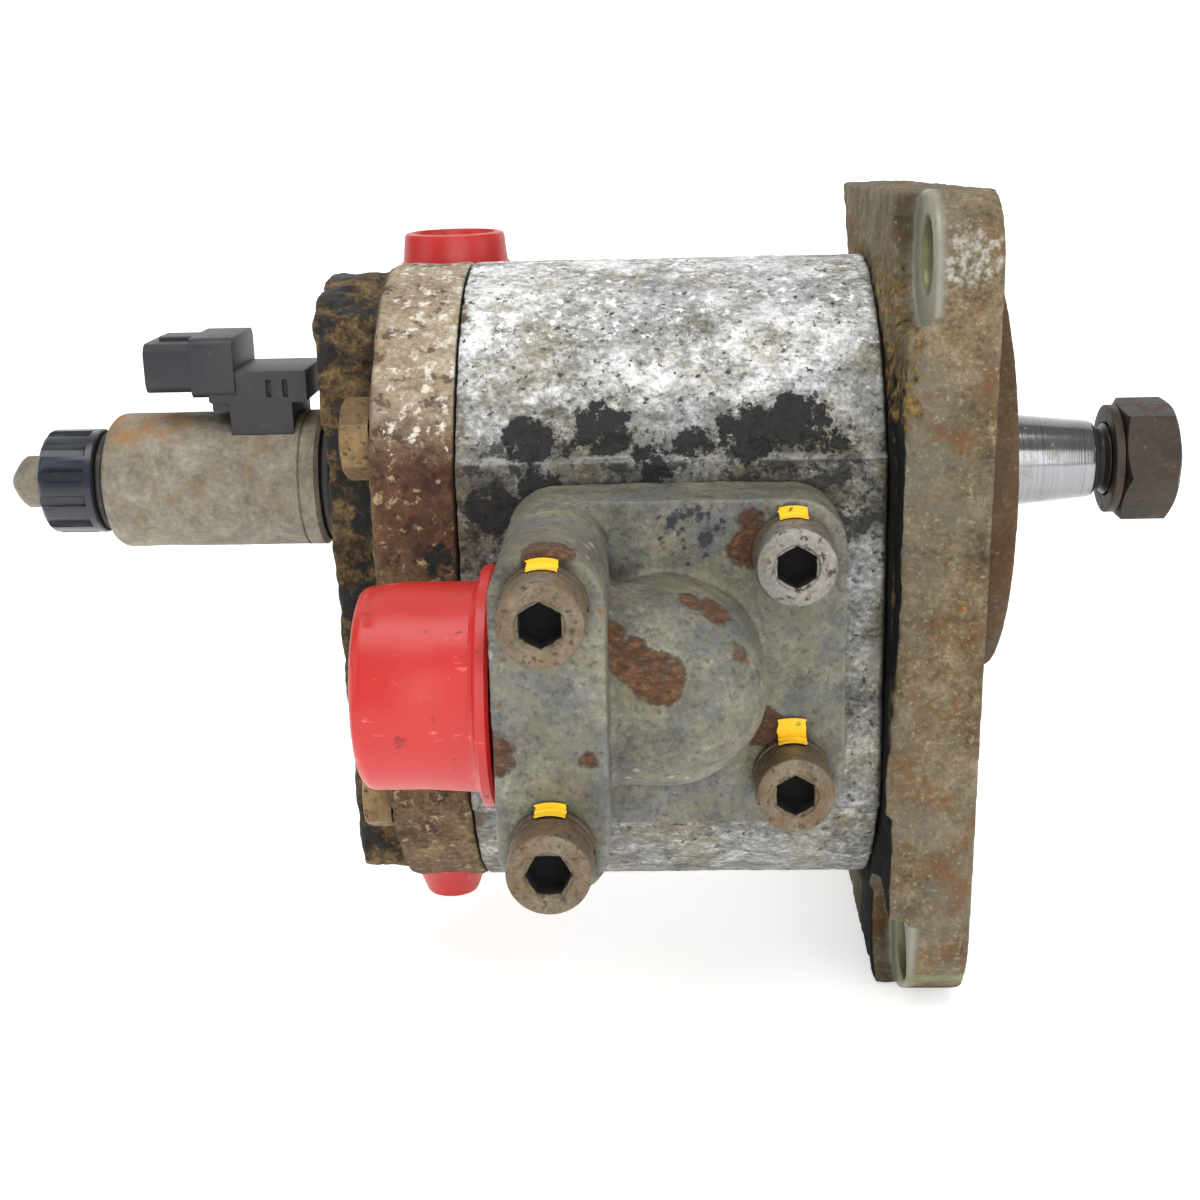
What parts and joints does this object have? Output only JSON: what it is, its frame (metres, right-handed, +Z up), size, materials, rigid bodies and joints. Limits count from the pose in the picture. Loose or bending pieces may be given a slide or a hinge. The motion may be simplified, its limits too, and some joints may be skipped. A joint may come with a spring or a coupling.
{
  "type": "hydraulic motor",
  "caption": "Hydraulic gear motor with a mounting flange, tapered shaft and nut, side port elbow with a cap, and a solenoid relief valve in its rear cover.",
  "frame": {"origin": "on the drive shaft's axis, in the flange's mounting face, at the foot of the pilot", "axes": "+X along the drive shaft towards its nut, +Z up from the idler gear to the drive gear, +Y away from the port elbow"},
  "size_m": [0.228, 0.1691, 0.152],
  "materials": {
    "cast_iron": "rough sand-cast, weathered",
    "cover_iron": "rough sand-cast, rusted and oily",
    "aluminium": "extruded, oxidised",
    "bearing_alloy": "machined",
    "elbow_iron": "cast, worn plating",
    "machined_steel": "ground",
    "screw_steel": "weathered plating",
    "zinc_yellow": "yellow zinc with rust",
    "black_steel": "blackened, oily",
    "coil_steel": "dull zinc plating",
    "bronze": "machined",
    "rubber": "matt",
    "nut_plastic": "moulded, glossy",
    "connector_plastic": "moulded, matt",
    "red_plastic": "thin moulded polyethylene",
    "terminal_metal": "tinned"
  },
  "bodies": {
    "motor": {"front_flange": "cast_iron", "gear_housing": "aluminium", "rear_cover": "cover_iron", "front_bearing_block": "bearing_alloy", "rear_bearing_block": "bearing_alloy", "front_drive_bush": "bronze", "front_idler_bush": "bronze", "rear_drive_bush": "bronze", "rear_idler_bush": "bronze", "front_axial_seal": "rubber", "rear_axial_seal": "rubber", "front_housing_seal": "rubber", "rear_housing_seal": "rubber", "shaft_seal": "rubber", "seal_circlip": "black_steel", "elbow_flange": "elbow_iron", "elbow_seal": "rubber", "front_dowel_1": "machined_steel", "front_dowel_2": "machined_steel", "rear_dowel_1": "machined_steel", "rear_dowel_2": "machined_steel", "valve_cartridge": "machined_steel", "poppet_spring": "machined_steel", "coil_can": "coil_steel", "coil_front_seal": "rubber", "coil_rear_seal": "rubber", "coil_nut": "nut_plastic", "connector_housing": "connector_plastic", "terminal_pin_1": "terminal_metal", "terminal_pin_2": "terminal_metal", "upper_outlet_screw": "screw_steel", "upper_outlet_washer": "screw_steel", "lower_outlet_screw": "screw_steel", "lower_outlet_washer": "screw_steel", "upper_flange_screw": "screw_steel", "upper_flange_washer": "screw_steel", "lower_flange_screw": "screw_steel", "lower_flange_washer": "screw_steel", "housing_bolt_1": "zinc_yellow", "housing_bolt_2": "zinc_yellow", "housing_bolt_3": "zinc_yellow", "housing_bolt_4": "zinc_yellow"},
    "shaft": {"drive_shaft": "machined_steel", "shaft_key": "black_steel", "shaft_nut": "black_steel", "lock_washer": "black_steel"},
    "idler": {"idler_gear": "machined_steel"},
    "poppet": {"valve_poppet": "machined_steel"},
    "armature": {"solenoid_armature": "machined_steel"},
    "adjuster": {"adjuster_screw": "coil_steel"},
    "outlet_cap": {"elbow_cap": "red_plastic"},
    "top_plug": {"top_plug": "red_plastic"},
    "bottom_plug": {"bottom_plug": "red_plastic"}
  },
  "joints": [
    {"name": "shaft_spin", "type": "hinge", "parent": "motor", "child": "shaft", "pos_m": [0, 0, 0], "axis": [1, 0, 0], "continuous": true},
    {"name": "idler_spin", "type": "hinge", "parent": "motor", "child": "idler", "pos_m": [0, 0, -0.042], "axis": [1, 0, 0], "continuous": true},
    {"name": "poppet_lift", "type": "slide", "parent": "motor", "child": "poppet", "axis": [-1, 0, 0], "range_m": [0, 0.0015], "stiffness_N_per_m": 2000, "deforming": ["poppet_spring"]},
    {"name": "armature_travel", "type": "slide", "parent": "motor", "child": "armature", "axis": [1, 0, 0], "range_m": [0, 0.002], "stiffness_N_per_m": 500},
    {"name": "adjuster_turn", "type": "hinge", "parent": "motor", "child": "adjuster", "pos_m": [-0.1763, 0, -0.001], "axis": [1, 0, 0], "range_deg": [-360, 360]},
    {"name": "cap_pull", "type": "slide", "parent": "motor", "child": "outlet_cap", "axis": [-1, 0, 0], "range_m": [0, 0.024]},
    {"name": "top_plug_pull", "type": "slide", "parent": "motor", "child": "top_plug", "axis": [0, 0, 1], "range_m": [0, 0.014]},
    {"name": "bottom_plug_pull", "type": "slide", "parent": "motor", "child": "bottom_plug", "axis": [0, 0, -1], "range_m": [0, 0.014]}
  ],
  "couplings": [
    {"joint": "idler_spin", "follows": "shaft_spin", "ratio": -1}
  ]
}
